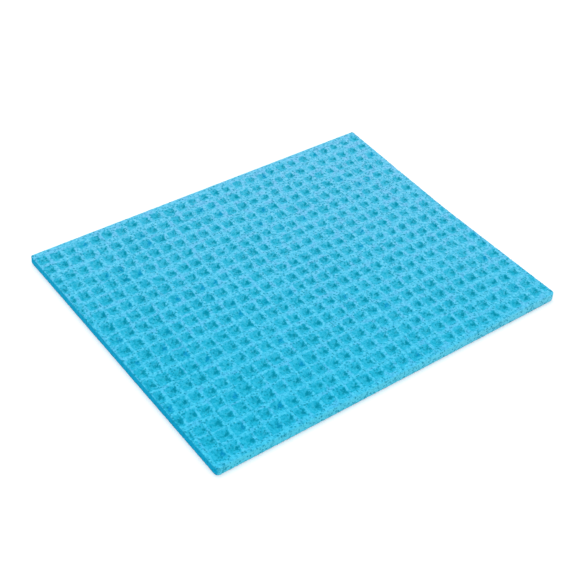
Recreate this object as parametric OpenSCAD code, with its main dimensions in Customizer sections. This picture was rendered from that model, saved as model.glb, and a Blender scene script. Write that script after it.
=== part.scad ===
// Sponge cloth: one flat piece of cellulose sponge with a waffle of square
// dents pressed into its upper face and a plain, flat lower face.
// X runs along the long side, Y across it, and Z up from the lower face.

/* [Cloth] */
// Greatest length, along the long sides
cloth_l = 252; // [150:1:280]
// Width, along the short sides
cloth_w = 200; // [120:1:220]
// Thickness, from the lower face to the top of the ridges
cloth_t = 5; // [3:0.5:8]
// Radius of the corners at the left end, back and front
left_r = [1.5, 2.5]; // [0.5:0.5:6]
// Radius of the corners at the right end, back and front
right_r = [1, 3]; // [0.5:0.5:6]
// How far the right end curves inwards at its middle
end_bow = 2; // [0:0.1:4]
// How much farther the right end reaches at the back than at the front
end_skew = 1.5; // [0:0.1:4]

/* [Waffle] */
// Spacing of the rows of dents, along the length
row_pitch = 9; // [8.5:0.1:14]
// Spacing of the columns of dents, across the width
column_pitch = 10.25; // [9.5:0.05:14]
// Width of the flat top of the ridges between the dents
ridge_w = 1.5; // [0.8:0.1:2.5]
// Depth of the dents
dent_depth = 2; // [0.5:0.1:2.5]
// Width of the flat bottom of a dent
dent_floor = 1.6; // [0.6:0.1:3]
// Angle between the rows and the short edges
row_slant = 4.8; // [0:0.1:8]
// Distance of the nearest row from the cloth's middle
row_shift = -4.2; // [-4.5:0.1:4.5]
// Least width of the plain band along each long edge
plain_band = 2; // [0.5:0.1:6]
// Width of the full-height rim along the two cut ends
end_rim = 1.2; // [0.4:0.1:2.5]

/* [Hidden] */

corner_steps = 5;
bow_steps = 8;
// 2 would bow the end evenly; towards 1 the bow narrows to a blunt V
bow_shape = 1.2;
// The waffle is pressed past the outline by this much before it is cut
trim = 2;
// The space between the two end rims is cut this much wider than the cloth
past_sides = 1.1;

columns = floor((cloth_w - 2 * plain_band + ridge_w) / column_pitch);
row_reach = cloth_l / 2 + end_bow + tan(row_slant) * cloth_w / 2 + row_pitch;
rows_left = ceil((row_reach + row_shift) / row_pitch);
rows_right = ceil((row_reach - row_shift) / row_pitch);

// ---- Outline ----

// A corner's arc round [x, y], anticlockwise from the angle "from"
function corner_arc(x, y, r, from) =
    [for (k = [0 : corner_steps])
        let (a = from + 90 * k / corner_steps)
        [x + r * cos(a), y + r * sin(a)]];

// How far the right end reaches at a given y: all the way at its back corner
function right_end(y) =
    let (v = 2 * y / cloth_w)
    cloth_l / 2 - end_skew * (1 - v) / 2 - end_bow * (1 - pow(abs(v), bow_shape));

// The bowed right end, between its two corners
function bowed_end(y_from, y_to) =
    [for (k = [0 : bow_steps])
        let (y = y_from + (y_to - y_from) * k / bow_steps)
        [right_end(y), y]];

half_w = cloth_w / 2;
left_x = -cloth_l / 2;
front_right_x = right_end(-half_w) - right_r[1];
back_right_x = cloth_l / 2 - right_r[0];
outline = concat(
    corner_arc(left_x + left_r[1], left_r[1] - half_w, left_r[1], 180),
    corner_arc(front_right_x, right_r[1] - half_w, right_r[1], 270),
    bowed_end(2 * right_r[1] - half_w, half_w - 2 * right_r[0]),
    corner_arc(back_right_x, half_w - right_r[0], right_r[0], 0),
    corner_arc(left_x + left_r[0], half_w - left_r[0], left_r[0], 90)
);

// ---- Waffle ----

// Where the dents start and end along one direction, between two outer limits
function stations(low, high, centres, width) =
    concat([low], [for (c = centres, side = [-1, 1]) c + side * width / 2], [high]);

row_centres = [for (k = [-rows_left : rows_right]) row_shift + k * row_pitch];
column_centres = [for (k = [0 : columns - 1]) (k - (columns - 1) / 2) * column_pitch];
dent_l = row_pitch - ridge_w;
dent_w = column_pitch - ridge_w;
xs = stations(row_centres[0] - row_pitch, row_shift + (rows_right + 1) * row_pitch,
              row_centres, dent_l);
ys = stations(-half_w - trim, half_w + trim, column_centres, dent_w);
nx = len(xs);
ny = len(ys);

// A point of the waffle: rows lean over with y
function slanted(x, y, z) = [x + tan(row_slant) * y, y, z];

// Numbers of the points: ridge tops first, then four for each dent's bottom
function top(i, j) = j * nx + i;
function bottom(i, j, corner) =
    nx * ny + 4 * (((j - 1) / 2) * ((nx - 2) / 2) + (i - 1) / 2) + corner;
function is_dent(i, j) = i % 2 == 1 && j % 2 == 1;

ridge_points = [for (y = ys, x = xs) slanted(x, y, cloth_t)];
floor_points = [for (y = column_centres, x = row_centres, corner = [[-1, -1], [1, -1], [1, 1], [-1, 1]])
    slanted(x + corner[0] * dent_floor / 2, y + corner[1] * dent_floor / 2, cloth_t - dent_depth)];
base_points = [for (corner = [[0, 0], [nx - 1, 0], [nx - 1, ny - 1], [0, ny - 1]])
    slanted(xs[corner[0]], ys[corner[1]], -trim)];
base = nx * ny + len(floor_points);

// One mesh square of the upper face, wound clockwise from outside
function square_ring(i, j) = [top(i, j), top(i, j + 1), top(i + 1, j + 1), top(i + 1, j)];

// A dent's four walls and its bottom
function dent_faces(i, j) =
    let (rim = [top(i, j), top(i + 1, j), top(i + 1, j + 1), top(i, j + 1)])
    concat(
        [for (k = [0 : 3])
            let (m = (k + 1) % 4)
            [rim[m], rim[k], bottom(i, j, k), bottom(i, j, m)]],
        [[for (k = [3 : -1 : 0]) bottom(i, j, k)]]
    );

upper_faces = [for (j = [0 : ny - 2], i = [0 : nx - 2])
    each is_dent(i, j) ? dent_faces(i, j) : [square_ring(i, j)]];
side_faces = [
    concat([base], [for (i = [0 : nx - 1]) top(i, 0)], [base + 1]),
    concat([base + 1], [for (j = [0 : ny - 1]) top(nx - 1, j)], [base + 2]),
    concat([base + 2], [for (i = [nx - 1 : -1 : 0]) top(i, ny - 1)], [base + 3]),
    concat([base + 3], [for (j = [ny - 1 : -1 : 0]) top(0, j)], [base])
];
base_face = [[base, base + 1, base + 2, base + 3]];

module waffle_slab() {
    polyhedron(concat(ridge_points, floor_points, base_points),
               concat(upper_faces, side_faces, base_face));
}

module cut_blank() {
    linear_extrude(cloth_t + trim) polygon(outline);
}

// The knife closes the dents that it cuts, so each end keeps a narrow rim
module end_rims() {
    rim_share = 2 * end_rim / cloth_l;
    between_rims = [for (p = outline) [p[0] * (1 - rim_share), p[1] * past_sides]];
    linear_extrude(cloth_t)
        difference() {
            polygon(outline);
            polygon(between_rims);
        }
}

module sponge_cloth() {
    color([0.27, 0.74, 0.88])
        union() {
            intersection() {
                cut_blank();
                waffle_slab();
            }
            end_rims();
        }
}

sponge_cloth();
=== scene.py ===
# %% [markdown]
# A sponge cloth
#
# The object is a flat, rectangular cloth of cellulose sponge. Its upper face carries a waffle of
# square dents with thin ridges between them, its lower face is plain, and the whole sheet is full of
# small open pores. It is one piece, so this lesson models one mesh, gives it one material, and then
# sets up a plain floor, soft light and a camera.
#
# The first cell loads the packed solid. Everything is in metres and in the solid's own frame.

# %% Load the frame
import math
import random

import bmesh
import bpy
from mathutils import Matrix, Vector, noise


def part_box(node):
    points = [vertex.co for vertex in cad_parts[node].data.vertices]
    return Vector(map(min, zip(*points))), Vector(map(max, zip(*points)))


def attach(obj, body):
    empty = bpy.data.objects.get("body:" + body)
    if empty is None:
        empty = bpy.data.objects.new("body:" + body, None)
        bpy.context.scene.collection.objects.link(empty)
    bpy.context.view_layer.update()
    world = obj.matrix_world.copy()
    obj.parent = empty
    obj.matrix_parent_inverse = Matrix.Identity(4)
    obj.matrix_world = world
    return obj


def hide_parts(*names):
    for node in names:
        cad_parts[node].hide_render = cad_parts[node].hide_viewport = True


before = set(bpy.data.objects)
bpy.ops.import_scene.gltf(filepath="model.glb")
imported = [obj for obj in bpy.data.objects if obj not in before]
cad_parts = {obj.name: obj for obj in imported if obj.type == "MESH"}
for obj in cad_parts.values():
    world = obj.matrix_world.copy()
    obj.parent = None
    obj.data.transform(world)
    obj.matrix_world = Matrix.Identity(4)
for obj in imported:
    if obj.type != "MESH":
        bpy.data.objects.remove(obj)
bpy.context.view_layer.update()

MM = 0.001
NODE = "sponge_cloth"
low, high = (Vector(corner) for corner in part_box(NODE))
LENGTH = high.x - low.x
WIDTH = high.y - low.y
THICKNESS = high.z - low.z
print("the solid is", [round(v / MM, 2) for v in (LENGTH, WIDTH, THICKNESS)], "mm")

# %% [markdown]
# The camera
#
# A lens of 75 mm on a 36 mm sensor looks down at the cloth from its left front corner. A camera can be
# aimed by hand, with a Track To constraint, or from a target point as here. The target keeps the
# numbers readable, and the small roll afterwards tips the horizon.

# %% Camera
CAMERA_AT = Vector((-363.4, -423.2, 492.3)) * MM
LOOKS_AT = Vector((-7.6, -5.4, 0.0)) * MM
CAMERA_ROLL = math.radians(5.3)
LENS = 75.46
SENSOR = 36.0


def aimed_camera(name, place, target, roll):
    """A camera at place, looking at target, tipped round its own view axis."""
    data = bpy.data.cameras.new(name)
    data.lens = LENS
    data.sensor_width = SENSOR
    camera = bpy.data.objects.new(name, data)
    bpy.context.scene.collection.objects.link(camera)
    turn = (target - place).to_track_quat("-Z", "Y").to_matrix().to_4x4()
    camera.matrix_world = turn @ Matrix.Rotation(roll, 4, "Z")
    camera.location = place
    return camera


camera = aimed_camera("camera", CAMERA_AT, LOOKS_AT, CAMERA_ROLL)
bpy.context.scene.camera = camera
print("camera stands", round((CAMERA_AT - LOOKS_AT).length, 3), "m from its target")

# %% [markdown]
# The outline
#
# The cloth is cut from a wider web. Its long sides are straight, its corners are a little rounded, and
# the right end bows inwards. The outline could be drawn as a curve and cut with a boolean. Functions of
# y are used here, because the same numbers then trim the grid, fade out the dents at the ends, and find
# the points that lie on a cut.

# %% Outline
HALF_L = LENGTH / 2
HALF_W = WIDTH / 2
END_BOW = 2.0 * MM
END_SKEW = 1.5 * MM
BOW_SHAPE = 1.2
LEFT_RADII = {"back": 1.5 * MM, "front": 2.5 * MM}
RIGHT_RADII = {"back": 1.0 * MM, "front": 3.0 * MM}


def corner_inset(y, radii):
    """How much a rounded corner takes off the reach at y."""
    radius = radii["back"] if y > 0 else radii["front"]
    past = max(0.0, abs(y) - (HALF_W - radius))
    return radius - math.sqrt(max(0.0, radius**2 - past**2))


def left_end(y):
    """The x of the left end at y."""
    return -HALF_L + corner_inset(y, LEFT_RADII)


def right_end(y):
    """The x of the right end at y, which bows inwards and leans a little."""
    v = y / HALF_W
    bowed = HALF_L - END_SKEW * (1 - v) / 2 - END_BOW * (1 - abs(v) ** BOW_SHAPE)
    return bowed - corner_inset(y, RIGHT_RADII)


print("right end reaches", [round(right_end(v * HALF_W) / MM, 1) for v in (-1, -0.5, 0, 0.5, 1)], "mm")

# %% [markdown]
# The waffle
#
# Rows of square dents are pressed into the upper face, each an upside-down pyramid. No two are quite
# alike. They are crisp squares near the left end, and grow smaller, rounder and shallower towards the
# right. The rows lean a few degrees from the short edges. The dents could be cut with booleans or
# modelled one by one, but a height for each point of a fine grid is simpler, and it lets every dent
# differ.
#
# This cell draws the facts of each dent once, from one fixed seed. What changes over the cloth is
# given as a pair, with the value at the front left corner first. Most of the change runs along the
# length, and the rest across the width.

# %% Waffle layout
ROW_PITCH = 9.0 * MM
COLUMN_PITCH = 10.25 * MM
ROW_LEAN = math.tan(math.radians(4.8))
ROW_SHIFT = -4.2 * MM
COLUMNS = 19
DENT_DEPTH = 1.9 * MM
DEPTHS = (1.0, 0.75)
DEPTH_SPREAD = 0.14
DEPTH_LIMITS = (0.35, 1.1)
PINCHES = (1.0, 1.7)
SIZES = (1.04, 0.80)
SIZE_SPREAD = 0.06
SQUARENESSES = (12.0, 2.6)
MIDDLE_LEAN = 1.0 * MM
MIDDLE_SPREAD = 0.45 * MM
ALONG_LENGTH = 0.7
PRESS_SEED = 7

first_ridge = ROW_SHIFT + ROW_PITCH / 2
rows_each_side = math.ceil((HALF_L + ROW_LEAN * HALF_W) / ROW_PITCH) + 1
press = random.Random(PRESS_SEED)


def between(ends, share):
    """The value at a share of the way from the first end to the second."""
    return ends[0] + (ends[1] - ends[0]) * share


def one_dent(row, column):
    """The facts of one dent: depth, hue of its painted shade, size and shape, and its lowest point."""
    share = ALONG_LENGTH * (row / rows_each_side + 1) / 2
    share += (1 - ALONG_LENGTH) * column / (COLUMNS - 1)
    depth = between(DEPTHS, share) + press.gauss(0, DEPTH_SPREAD)
    # The random number picks the hue of the dent's painted shade.
    facts = {"depth": min(DEPTH_LIMITS[1], max(DEPTH_LIMITS[0], depth)), "dye": press.random()}
    facts["pinch"] = between(PINCHES, share)
    facts["size"] = between(SIZES, share) + press.gauss(0, SIZE_SPREAD)
    facts["square"] = between(SQUARENESSES, share)
    facts["middle"] = (press.gauss(MIDDLE_LEAN, MIDDLE_SPREAD), press.gauss(0, MIDDLE_SPREAD))
    return facts


dents = {}
for row in range(-rows_each_side, rows_each_side):
    for column in range(COLUMNS):
        dents[row, column] = one_dent(row, column)
print(len(dents), "dents, before the ends are cut")

# %% [markdown]
# The shape of one dent
#
# From the ridges the surface falls to one lowest point. In the sum of powers below, a high power gives
# square dents and a low one gives round dents. The same function gives the painted shade of each point:
# the most on the wall towards the right end, and the least on the front wall, which is painted lighter.
# That could be painted as a texture, but then the colour and the shape could drift apart.

# %% Shape of one dent
ROW_RIDGE = 0.8 * MM
COLUMN_RIDGE = 1.0 * MM
DENT_SHIFT = 0.2 * MM
WALL_BLEND = 1.0
# How the painted shade on the wall towards the right end fades towards the ridge.
WALL_SHADE_EDGE = 0.5
LIT_FRONT_WALL = 0.6


def smooth(t):
    """An S-curve from 0 to 1."""
    t = min(1.0, max(0.0, t))
    return t * t * (3 - 2 * t)


def side_share(offset, middle, reach):
    """How far a point is from the lowest point to the ridge on its own side, -1 to 1."""
    to_ridge = reach - math.copysign(middle, offset - middle)
    return min(1.0, max(-1.0, (offset - middle) / to_ridge))


def hollow(facts, u, v):
    """One dent at an offset from its cell's middle.

    Gives how far down the surface is, 0 on the ridges to 1 at the bottom, its painted shade, less on
    the front wall, which is painted lighter, and the painted shade on the wall towards the right end.
    """
    half_x, half_y = (ROW_PITCH - ROW_RIDGE) / 2, (COLUMN_PITCH - COLUMN_RIDGE) / 2
    across = side_share(u - DENT_SHIFT, facts["middle"][0], half_x * facts["size"])
    along = side_share(v, facts["middle"][1], half_y * facts["size"])
    n = facts["square"]
    deep = 1 - min(1.0, (abs(across) ** n + abs(along) ** n) ** (1 / n))
    # Painted shade grows with depth, is painted lighter on the front wall and darkest on the right
    # wall.
    on_right_wall = smooth((across - abs(along)) / WALL_BLEND + 0.5)
    dyed = deep * (1 - LIT_FRONT_WALL * smooth(-along))
    return deep ** facts["pinch"], dyed, on_right_wall * deep**WALL_SHADE_EDGE


example = dents[0, 9]
offsets = [0.0, 0.2, 0.4, 0.6, 0.8, 1.0]
depths = [hollow(example, share * ROW_PITCH / 2, 0)[0] for share in offsets]
print("one dent, from its middle to the ridge:", [round(depth, 2) for depth in depths])

# %% [markdown]
# From a place to its dent
#
# The ridges aren't ruled straight: over a few centimetres they wander by up to a millimetre. Each dent
# could be moved by itself, but then the ridges would break. Here a slow noise moves the place that is
# looked up, so all the ridges bend together and stay joined. The drift dies away at the edges, and the
# dents fade out within about two millimetres of the short ends, so that the cut edge stays straight.

# %% From a place on the cloth to its dent
DRIFT = 0.9 * MM
DRIFT_SIZE = 24 * MM
DRIFT_EDGE = 6 * MM
DRIFT_LAYERS = (1.0, 7.0)
END_RIM = 2.2 * MM
PLAIN = {"depth": 0.0, "dye": 0.5}


def drift(x, y):
    """A slow drift of the waffle in x and in y, which dies away at the edges."""
    inside = min(x - left_end(y), right_end(y) - x, HALF_W - abs(y))
    strength = min(1.0, max(0.0, inside / DRIFT_EDGE))
    places = [Vector((x / DRIFT_SIZE, y / DRIFT_SIZE, layer)) for layer in DRIFT_LAYERS]
    return [DRIFT * strength * noise.noise(place) for place in places]


def waffle_at(x, y):
    """How far down the surface is at a place, its painted shade, that on its right wall, and the dent's
    facts.
    """
    drift_x, drift_y = drift(x, y)
    y0 = y - drift_y
    x0 = x - drift_x - ROW_LEAN * y0
    row, across = divmod((x0 - first_ridge) / ROW_PITCH + 1, 1)
    column, along = divmod(y0 / COLUMN_PITCH + COLUMNS / 2, 1)
    facts = dents.get((int(row), int(column)))
    if facts is None:
        return 0.0, 0.0, 0.0, PLAIN
    shares = hollow(facts, (across - 0.5) * ROW_PITCH, (along - 0.5) * COLUMN_PITCH)
    inside_rim = smooth(min(x - left_end(y), right_end(y) - x) / END_RIM)
    return *(share * inside_rim for share in shares), facts


print("at the middle:", waffle_at(0.0, 0.0))

# %% [markdown]
# The mesh
#
# The upper face starts as one flat grid from bmesh.ops.create_grid. A Displace modifier could shape it
# from an image, but a function places each point as well and needs no image. The grid's lines follow
# the ridges and gather towards them, where the shape turns fastest, and along the long sides a few
# close lines carry the rounded edge. Points past the ends are brought back to the cut while the grid is
# still flat, and remove_doubles merges them, which leaves a clean edge.

# %% Flat grid, cut to the outline
ROW_STRIPS = 12
COLUMN_STRIPS = 13
EDGE_LINES = (0.0, 0.2, 0.5, 1.0, 1.7)
EDGE_STRIPS = len(EDGE_LINES)
GATHER = 0.35
SNAP = 0.30 * MM
MERGE = 0.10 * MM


def gathered(count, strips):
    """Whole cells plus a share of one, with the lines moved towards the ridges."""
    cells, t = divmod(count / strips, 1)
    return cells + t - GATHER * math.sin(2 * math.pi * t) / (2 * math.pi)


def cut_to_ends(x, y):
    """Brings a point that is past an end, or almost there, back to the cut."""
    if x < left_end(y) + SNAP:
        return left_end(y)
    return right_end(y) if x > right_end(y) - SNAP else x


def flat_grid():
    """The upper face, flat: grid lines along the ridges, cut to the outline."""
    bm = bmesh.new()
    x_lines = 2 * rows_each_side * ROW_STRIPS
    y_lines = COLUMNS * COLUMN_STRIPS + 2 * EDGE_STRIPS
    bmesh.ops.create_grid(bm, x_segments=x_lines, y_segments=y_lines, size=0.5)
    for v in bm.verts:
        across = gathered(round((v.co.x + 0.5) * x_lines), ROW_STRIPS) - rows_each_side
        line = round((v.co.y + 0.5) * y_lines)
        along = gathered(line - EDGE_STRIPS, COLUMN_STRIPS)
        y = (along - COLUMNS / 2) * COLUMN_PITCH
        from_side = min(line, y_lines - line)
        if from_side < EDGE_STRIPS:
            y = math.copysign(HALF_W - EDGE_LINES[from_side] * MM, y)
        x = first_ridge + across * ROW_PITCH + ROW_LEAN * y
        drift_x, drift_y = drift(x, y)
        x, y = x + drift_x, y + drift_y
        v.co = (cut_to_ends(x, y), y, 0)
    bmesh.ops.remove_doubles(bm, verts=bm.verts, dist=MERGE)
    return bm


cloth_bm = flat_grid()
print("flat grid:", len(cloth_bm.faces), "faces")

# %% [markdown]
# Heights
#
# Each point now drops by the depth of its dent. Loose fibres lift the whole face a little, a slow swell
# and a fine grain keep it from looking machined, and a few points drop as open pores. The long edges
# are rounded over. Sculpting could do this by hand, but a loop over the points can be run again.
#
# The same pass stores what the material needs as attributes of the mesh: the painted shade of each
# point, which grows with the depth of its dent, the painted shade on the dent's wall towards the right
# end, and a random number for each dent, which picks the hue of that painted shade. cut_end and
# cut_side mark the cut walls.

# %% Heights
SHOULDERS = {"back": 0.4 * MM, "front": 1.0 * MM}
SIDE_REACH = 1.0 * MM
LIFT = 0.30 * MM
SWELL = 0.08 * MM
SWELL_SIZE = 6 * MM
GRAIN = 0.04 * MM
PORE_SHARE = 0.04
PORE_DEPTH = 0.5 * MM
GRAIN_SEED = 11
dent_shade_mark = cloth_bm.verts.layers.float.new("dent_depth")
wall_shade_mark = cloth_bm.verts.layers.float.new("dye_pool")
dye_mark = cloth_bm.verts.layers.float.new("dye")
end_mark = cloth_bm.verts.layers.float.new("cut_end")
side_mark = cloth_bm.verts.layers.float.new("cut_side")
grain = random.Random(GRAIN_SEED)


def shoulder(y):
    """How far the rounded long edges drop at y."""
    radius = SHOULDERS["back"] if y > 0 else SHOULDERS["front"]
    past = min(radius, max(0.0, abs(y) - (HALF_W - radius)))
    return radius - math.sqrt(radius**2 - past**2)


def raise_waffle(bm):
    """Gives each point of the upper face its height, with a little unevenness and some open pores."""
    for v in bm.verts:
        deep, dyed, wall_shade, facts = waffle_at(v.co.x, v.co.y)
        swell = SWELL * noise.noise(v.co / SWELL_SIZE) + GRAIN * grain.uniform(-1, 1)
        pore = PORE_DEPTH * grain.random() if grain.random() < PORE_SHARE else 0.0
        sunk = DENT_DEPTH * facts["depth"] * deep + pore + shoulder(v.co.y)
        v.co.z = THICKNESS + LIFT + swell - sunk
        # These marks carry painted shade: by depth in the dents, on their right walls, and a hue for
        # each dent.
        v[dent_shade_mark], v[wall_shade_mark], v[dye_mark] = dyed, wall_shade, facts["dye"]
        # The rounded long edges get the painted light of the long sides.
        v[side_mark] = max(0.0, 1 - (HALF_W - abs(v.co.y)) / SIDE_REACH)


raise_waffle(cloth_bm)
zs = [v.co.z / MM for v in cloth_bm.verts]
print("upper face lies between", round(min(zs), 2), "and", round(max(zs), 2), "mm")

# %% [markdown]
# Side walls and lower face
#
# The cut walls are pitted. Solidify could give a plain wall, but here the open edge is extruded in
# rings, and each point of a ring then moves in or out by a random bit. The points are taken in the
# order of their edges. A set of them would have a new order in each run, and so other pits each time.
# The last ring lies at height 0, and one face fills it. Its points aren't marked as cut, so that the
# lower face keeps the plain sponge colour.

# %% Side walls and lower face
RIM_INSET = -0.08 * MM
# Each ring's share of the height, and its inset in millimetres. A negative inset stands out, by a
# little less than the deepest pit.
WALL_STEPS = ((0.93, -0.16), (0.74, -0.18), (0.50, -0.18), (0.26, -0.18), (0.06, -0.15), (0.0, 0.0))
WALL_PITTING = 0.25 * MM
ON_CUT = 0.05 * MM


def is_on_end(v):
    """Whether a point is on one of the two short ends."""
    return min(v.co.x - left_end(v.co.y), right_end(v.co.y) - v.co.x) < ON_CUT


def next_ring(bm, edges, drop):
    """Extrudes an open edge loop downwards, to a share of its height, and marks it as cut."""
    made = bmesh.ops.extrude_edge_only(bm, edges=edges)["geom"]
    edges = [g for g in made if isinstance(g, bmesh.types.BMEdge) and g.is_boundary]
    ring = [g for g in made if isinstance(g, bmesh.types.BMVert)]
    for v in ring:
        v.co.z *= drop
        v[end_mark if is_on_end(v) else side_mark] = 1.0 if drop else 0.0
    return edges, ring


def pull_in(v, inset):
    """Moves a wall point towards the middle of the cloth."""
    v.co.x *= 1 - inset / HALF_L
    v.co.y *= 1 - inset / HALF_W


def add_walls_and_base(bm):
    """Side walls in rings from the cut edge down, and a plain lower face."""
    edges = [e for e in bm.edges if e.is_boundary]
    rim = list(dict.fromkeys(v for e in edges for v in e.verts))
    rings = [(rim, RIM_INSET)]
    height = 1.0
    for share, inset in WALL_STEPS:
        edges, ring = next_ring(bm, edges, share / height)
        rings.append((ring, inset * MM))
        height = share
    for ring, inset in rings:
        for v in ring:
            pull_in(v, inset + WALL_PITTING * grain.random())
    base = bmesh.ops.contextual_create(bm, geom=edges)["faces"]
    bmesh.ops.recalc_face_normals(bm, faces=bm.faces)
    return base


lower_face = add_walls_and_base(cloth_bm)
print("with walls and base:", len(cloth_bm.faces), "faces; lower face made:", len(lower_face))

# %% [markdown]
# The cloth as an object
#
# A bmesh is only a working copy, so it is written to a mesh, and an object puts that mesh in the scene.
# The object stays at the origin, because the points already have their places. The upper face and the
# walls are shaded smooth, which suits a soft sponge. The lower face is shaded flat, or it would take
# its shading from the walls round it.

# %% Cloth object
def mesh_object(name, bm, flat_faces=()):
    """Turns a bmesh into an object at the origin, smooth but for the faces named as flat."""
    for face in bm.faces:
        face.smooth = face not in flat_faces
    mesh = bpy.data.meshes.new(name)
    bm.to_mesh(mesh)
    bm.free()
    piece = bpy.data.objects.new(name, mesh)
    bpy.context.scene.collection.objects.link(piece)
    return piece


cloth = mesh_object("cellulose_sheet", cloth_bm, lower_face)
triangles = sum(len(p.vertices) - 2 for p in cloth.data.polygons)
print("cloth:", triangles, "triangles")

# %% [markdown]
# The finish
#
# Cellulose sponge is dyed right through. The paler fibres on the ridges are partly painted light, and
# the deeper, greener dents are painted shade. Pores of a millimetre or less speckle it all over.
# Nodes could be placed by hand in the shader editor. Here a small class adds and links them, so that
# each layer of the finish is a line or two.

# %% Helper for shader nodes
PORE_CORE = 0.6  # the share of a pore's radius that is fully open


class Nodes:
    """A short way to add shader nodes and link them."""

    def __init__(self, material):
        material.use_nodes = True
        self.tree = material.node_tree
        self.tree.nodes.clear()

    def add(self, kind, values=(), **settings):
        node = self.tree.nodes.new(kind)
        for key, value in settings.items():
            setattr(node, key, value)
        for socket, value in dict(values).items():
            if hasattr(value, "node"):
                self.tree.links.new(value, node.inputs[socket])
            else:
                node.inputs[socket].default_value = value
        return node

    def noise(self, coords, size, detail=2.0, rough=0.5, twist=0.0):
        values = {"Vector": coords, "Scale": 1 / size, "Detail": detail, "Roughness": rough}
        values["Distortion"] = twist
        return self.add("ShaderNodeTexNoise", values).outputs["Fac"]

    def pores(self, coords, size, width, share):
        """Round open pores, in a share of the cells of a random pattern."""
        cells = self.add("ShaderNodeTexVoronoi", {"Vector": coords, "Scale": 1 / size})
        round_spot = self.spread(cells.outputs["Distance"], width * PORE_CORE, width, 1.0, 0.0)
        lot = self.add("ShaderNodeSeparateColor", {"Color": cells.outputs["Color"]}).outputs[0]
        chosen = self.maths("LESS_THAN", lot, share)
        return self.maths("MULTIPLY", round_spot, chosen)

    def spread(self, value, low, high, to_low=0.0, to_high=1.0):
        values = {0: value, 1: low, 2: high, 3: to_low, 4: to_high}
        return self.add("ShaderNodeMapRange", values, interpolation_type="SMOOTHSTEP").outputs[0]

    def maths(self, operation, a, b=0.0):
        return self.add("ShaderNodeMath", {0: a, 1: b}, operation=operation).outputs[0]

    def mix(self, factor, a, b, blend="MIX"):
        values = {0: factor, 6: a, 7: b}
        return self.add("ShaderNodeMix", values, data_type="RGBA", blend_type=blend).outputs[2]


print("helper for shader nodes:", [name for name in vars(Nodes) if not name.startswith("_")])

# %% [markdown]
# The grain of the sponge
#
# Four random patterns make up the sponge: a fine grain, thin strands of fibre, lilac patches, and open
# pores of two sizes. An image could carry them, but it would blur close up. These read Object
# coordinates, so they keep their real size and stay where they are on the cloth. A Voronoi texture
# gives round pores, and the strands are the thin lines along which a twisted noise crosses its middle
# value. A fifth value, ragged, is the fine grain made ready to break up the edges of the painted shade.

# %% Grain
FINE_GRAIN = {"size": 1.8 * MM, "detail": 4.0, "rough": 0.7}
STRANDS = {"size": 2.6 * MM, "detail": 3.0, "rough": 0.6, "twist": 1.2}
STRAND_WIDTH = 0.04
PATCHES = {"size": 7 * MM}
SMALL_PORES = {"size": 1.7 * MM, "width": 0.36, "share": 0.50}
LARGE_PORES = {"size": 3.4 * MM, "width": 0.24, "share": 0.30}
RAGGED_FROM_TO = (0.3, 0.7, 0.18, -0.18)


def sponge_grain(n, coords):
    """The random patterns of the sponge, by name."""
    fine = n.noise(coords, **FINE_GRAIN)
    off_strand = n.maths("SUBTRACT", n.noise(coords, **STRANDS), 0.5)
    return {
        "fine": fine,
        "ragged": n.spread(fine, *RAGGED_FROM_TO),
        "strand": n.spread(n.maths("ABSOLUTE", off_strand), 0.0, STRAND_WIDTH, 1.0, 0.0),
        "patches": n.noise(coords, **PATCHES),
        "pores": n.maths("MAXIMUM", n.pores(coords, **SMALL_PORES), n.pores(coords, **LARGE_PORES)),
    }


print("pores about", [round(pores["size"] / MM, 1) for pores in (SMALL_PORES, LARGE_PORES)], "mm apart")

# %% [markdown]
# The painted shade in the waffle
#
# From the ridges down the colour is a pale blue with lilac patches, then painted shade: a middle blue
# inside the dent, a deeper one near its bottom, and the darkest on the wall towards the right end,
# where a few dents are plain blue. Most of the waffle's contrast is in this painted shade, because soft
# light shades such shallow dents very little. It could be painted by hand, but the attributes of the
# mesh follow each dent exactly, and the grain makes its edges ragged.

# %% Painted shade in the waffle
RIDGE_COLOUR = (0.098, 0.580, 0.860, 1)
LILAC_COLOUR = (0.160, 0.550, 0.880, 1)
# Painted shade inside the dents, from a middle blue to a deeper one near the bottom.
DENT_SHADE_COLOUR = (0.035, 0.515, 0.755, 1)
DEEP_SHADE_COLOUR = (0.014, 0.465, 0.650, 1)
# Painted shade on the wall towards the right end, plain blue in a few dents.
WALL_SHADE_COLOUR = (0.0002, 0.290, 0.410, 1)
BLUE_WALL_SHADE_COLOUR = (0.002, 0.330, 0.640, 1)
LILAC_FROM_TO = (0.48, 0.66)
DEPTH_RAGGED, WALL_SHADE_RAGGED = 0.30, 1.1
RIDGE_EDGE = 0.02
STEP_ENDS = (0.10, 0.32)
DENT_FROM_TO = (0.25, 0.90)
WALL_SHADE_IN_DENT = 1.1
BLUE_FROM_TO = (0.84, 0.96)
WALL_SHADE_FROM_TO = (0.24, 0.72)
# A run from the front left corner to the back right one, for the painted sheen and the ridge step.
CORNER_RUN = (2.0, 3.3, 0.0)
RUN_ENDS = 0.6


def mark(n, name):
    """One of the attributes that the mesh carries."""
    return n.add("ShaderNodeAttribute", attribute_name=name).outputs["Fac"]


def ragged_mark(n, name, grain, amount):
    """An attribute whose edges the fine grain breaks up."""
    return n.maths("ADD", mark(n, name), n.maths("MULTIPLY", grain["ragged"], amount))


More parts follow.
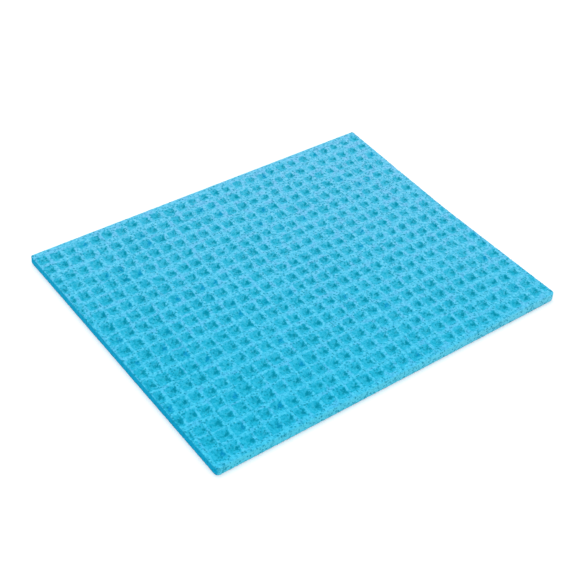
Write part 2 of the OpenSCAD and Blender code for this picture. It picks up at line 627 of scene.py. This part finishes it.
def waffle_colour(n, grain, run, wall_shade):
    """The colour from the ridges down to the painted shade at the bottom of the dents, and where the
    dents begin.
    """
    depth = ragged_mark(n, "dent_depth", grain, DEPTH_RAGGED)
    ridge = n.mix(n.spread(grain["patches"], *LILAC_FROM_TO), RIDGE_COLOUR, LILAC_COLOUR)
    below_ridge = n.spread(depth, RIDGE_EDGE, n.spread(run, -RUN_ENDS, RUN_ENDS, *STEP_ENDS))
    # Painted shade below the ridges, deeper near the bottom of the dents.
    colour = n.mix(below_ridge, ridge, DENT_SHADE_COLOUR)
    sunk = n.maths("MAXIMUM", depth, n.maths("MULTIPLY", wall_shade, WALL_SHADE_IN_DENT))
    colour = n.mix(n.spread(sunk, *DENT_FROM_TO), colour, DEEP_SHADE_COLOUR)
    # The darkest painted shade, on the wall towards the right end.
    wall_shade_colour = n.mix(n.spread(mark(n, "dye"), *BLUE_FROM_TO), WALL_SHADE_COLOUR, BLUE_WALL_SHADE_COLOUR)
    return n.mix(n.spread(wall_shade, *WALL_SHADE_FROM_TO), colour, wall_shade_colour), below_ridge


blue_dents = sum(facts["dye"] > BLUE_FROM_TO[0] for facts in dents.values())
print(blue_dents, "of", len(dents), "dents turn plain blue on their darkest wall")

# %% [markdown]
# Fibres and pores
#
# Pale fibres lie over the colour, partly their own paleness and partly painted light: they show most on
# the ridges, less inside the dents, least of all on the darkest walls, and little on the cut ends,
# where painted shade hides them. Dark grain and open pores go over everything. The fibres could be real
# strands, but they are so thin that a colour reads as well.

# %% Fibres and pores
FIBRE_COLOUR = (0.230, 0.750, 0.980, 1)
PORE_COLOUR = (0.001, 0.330, 0.490, 1)
# Painted shade that hides the fibres in the dents, on the darkest walls and on the cut ends.
FIBRE_SHADE_IN_DENT, FIBRE_SHADE_ON_END = 0.60, 0.9
FIBRE_SHADE_ON_WALL = (0.20, 0.65, 0.0, 0.95)
STRAND_LIGHT = 0.7
GRAIN_LIGHT = (0.48, 0.66, 0.0, 0.8)
GRAIN_DARK = (0.32, 0.52, 0.75, 0.0)
PORE_DARK = 0.8


def fibre_shade_mask(n, below_ridge, wall_shade, cut_end):
    """How much painted shade hides the fibres: in the dents, most on the darkest walls, and on the cut
    ends.
    """
    in_dent = n.maths("MULTIPLY", below_ridge, FIBRE_SHADE_IN_DENT)
    in_dent = n.maths("MAXIMUM", in_dent, n.spread(wall_shade, *FIBRE_SHADE_ON_WALL))
    return n.maths("MAXIMUM", in_dent, n.maths("MULTIPLY", cut_end, FIBRE_SHADE_ON_END))


def add_fibres_and_pores(n, colour, grain, fibre_shade):
    """Lays the fibres, the dark grain and the open pores over a colour."""
    strand = n.maths("MULTIPLY", grain["strand"], STRAND_LIGHT)
    light = n.maths("MAXIMUM", strand, n.spread(grain["fine"], *GRAIN_LIGHT))
    # The fibres show as painted light where no painted shade lies.
    unshaded = n.maths("SUBTRACT", 1.0, fibre_shade)
    colour = n.mix(n.maths("MULTIPLY", light, unshaded), colour, FIBRE_COLOUR)
    colour = n.mix(n.spread(grain["fine"], *GRAIN_DARK), colour, PORE_COLOUR)
    return n.mix(n.maths("MULTIPLY", grain["pores"], PORE_DARK), colour, PORE_COLOUR)


print("fibres hide up to", max(STRAND_LIGHT, GRAIN_LIGHT[-1]), "of the colour under them")

# %% [markdown]
# The whole material
#
# The cut ends get a colour of painted shade, and the long sides and their rounded edges one of painted
# light. A tint then multiplies everything, a painted sheen that makes the cloth paler towards its back
# right corner and deeper towards the front left one. A run vector turns a place into one number that
# runs between those corners. The shader is rough, with next to no gloss, and the grain and pores drive
# a small bump, for relief finer than the mesh can hold. One material with masks is used, as three with
# hard borders would show a seam along the cut edges.

# %% Cellulose sponge
# Painted shade on the cut ends.
END_SHADE_COLOUR = (0.001, 0.450, 0.740, 1)
# Painted light on the long sides and their rounded edges.
SIDE_LIGHT_COLOUR = (0.260, 0.780, 1.0, 1)
# Painted sheen: paler towards the back right corner, deeper towards the front left one.
FRONT_LEFT_TINT = (0.41, 0.975, 1.005, 1)
SHEEN_TINT = (1.17, 1.010, 1.020, 1)
PORE_RELIEF = 0.6
BUMP_STRENGTH = 0.7
BUMP_HEIGHT = 0.6 * MM
ROUGHNESS = 0.95
GLOSS = 0.05


def sponge_material():
    """Blue cellulose sponge."""
    material = bpy.data.materials.new("blue_cellulose_sponge")
    n = Nodes(material)
    coords = n.add("ShaderNodeTexCoord").outputs["Object"]
    along_run = n.add("ShaderNodeVectorMath", {0: coords, 1: CORNER_RUN}, operation="DOT_PRODUCT")
    run = along_run.outputs["Value"]
    grain = sponge_grain(n, coords)
    # Painted shade on the right walls of the dents, with ragged edges.
    wall_shade = ragged_mark(n, "dye_pool", grain, WALL_SHADE_RAGGED)
    cut_end = mark(n, "cut_end")

    colour, below_ridge = waffle_colour(n, grain, run, wall_shade)
    # Painted shade on the cut ends.
    colour = n.mix(cut_end, colour, END_SHADE_COLOUR)
    # Painted light on the long sides and their rounded edges.
    colour = n.mix(mark(n, "cut_side"), colour, SIDE_LIGHT_COLOUR)
    colour = add_fibres_and_pores(n, colour, grain, fibre_shade_mask(n, below_ridge, wall_shade, cut_end))
    # Painted sheen across the cloth, from the front left corner to the back right one.
    sheen_tint = n.mix(n.spread(run, -RUN_ENDS, RUN_ENDS), FRONT_LEFT_TINT, SHEEN_TINT)
    colour = n.mix(1.0, colour, sheen_tint, blend="MULTIPLY")

    relief = n.maths("SUBTRACT", grain["fine"], n.maths("MULTIPLY", grain["pores"], PORE_RELIEF))
    values = {"Strength": BUMP_STRENGTH, "Distance": BUMP_HEIGHT, "Height": relief}
    bump = n.add("ShaderNodeBump", values)
    values = {"Base Color": colour, "Roughness": ROUGHNESS, "Normal": bump.outputs[0]}
    values["Specular IOR Level"] = GLOSS
    shader = n.add("ShaderNodeBsdfPrincipled", values)
    n.add("ShaderNodeOutputMaterial", {"Surface": shader.outputs[0]})
    return material


cloth.data.materials.append(sponge_material())
print("materials:", [m.name for m in cloth.data.materials])

# %% [markdown]
# Floor
#
# A plain white floor carries the cloth. It lies a tenth of a millimetre under the lower face, because
# two faces in the same place mix their colours. A shadow catcher could do the same work, but white
# paper is simpler. A little emission, for camera rays only, lifts it to white and keeps the shadow.

# %% Floor
FLOOR_SIZE = 4.0
FLOOR_DIFFUSE = (0.85, 0.85, 0.85, 1)
FLOOR_GLOW = 0.30
FLOOR_GAP = 0.1 * MM


def floor_material():
    """White paper that shows the shadow, lifted to white where the camera sees it."""
    material = bpy.data.materials.new("white_paper")
    n = Nodes(material)
    path = n.add("ShaderNodeLightPath")
    seen = n.maths("MULTIPLY", path.outputs["Is Camera Ray"], FLOOR_GLOW)
    paper = n.add("ShaderNodeBsdfDiffuse", {"Color": FLOOR_DIFFUSE})
    glow = n.add("ShaderNodeEmission", {"Strength": seen})
    both = n.add("ShaderNodeAddShader", {0: paper.outputs[0], 1: glow.outputs[0]})
    n.add("ShaderNodeOutputMaterial", {"Surface": both.outputs[0]})
    return material


floor_bm = bmesh.new()
bmesh.ops.create_grid(floor_bm, x_segments=1, y_segments=1, size=FLOOR_SIZE / 2)
floor = mesh_object("floor", floor_bm)
floor.location.z = -FLOOR_GAP
floor.data.materials.append(floor_material())
print("floor is", FLOOR_SIZE, "m across")

# %% [markdown]
# Light
#
# The world gives most of the light, evenly from all round. One broad sun from behind the cloth, a
# little to the right, models the dents. Area lamps would do as well, but a sun lights the whole sheet
# alike. Together they come to about 1 on a level surface, so that a colour renders about as it is
# written.

# %% World and sun
FILL = 0.79
SUN_STRENGTH = 0.80
SUN_ANGLE = math.radians(35)
SUN_FROM = Vector((0.12, 0.30, 0.70))

world = bpy.data.worlds.new("studio")
bpy.context.scene.world = world
n = Nodes(world)
path = n.add("ShaderNodeLightPath")
seen = n.maths("MAXIMUM", path.outputs["Is Camera Ray"], path.outputs["Is Glossy Ray"])
strength = n.spread(seen, 0.0, 1.0, FILL, 1.0)
background = n.add("ShaderNodeBackground", {"Color": (1, 1, 1, 1), "Strength": strength})
n.add("ShaderNodeOutputWorld", {"Surface": background.outputs[0]})

sun_data = bpy.data.lights.new("sun", "SUN")
sun_data.energy = SUN_STRENGTH
sun_data.angle = SUN_ANGLE
sun = bpy.data.objects.new("sun", sun_data)
sun.rotation_mode = "QUATERNION"
sun.rotation_quaternion = SUN_FROM.to_track_quat("Z", "Y")
bpy.context.scene.collection.objects.link(sun)
bpy.context.scene.view_settings.view_transform = "Standard"
print("level light:", round(FILL + SUN_STRENGTH * SUN_FROM.normalized().z / math.pi, 2))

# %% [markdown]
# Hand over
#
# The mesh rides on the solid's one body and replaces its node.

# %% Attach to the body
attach(cloth, "root")
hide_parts(NODE)
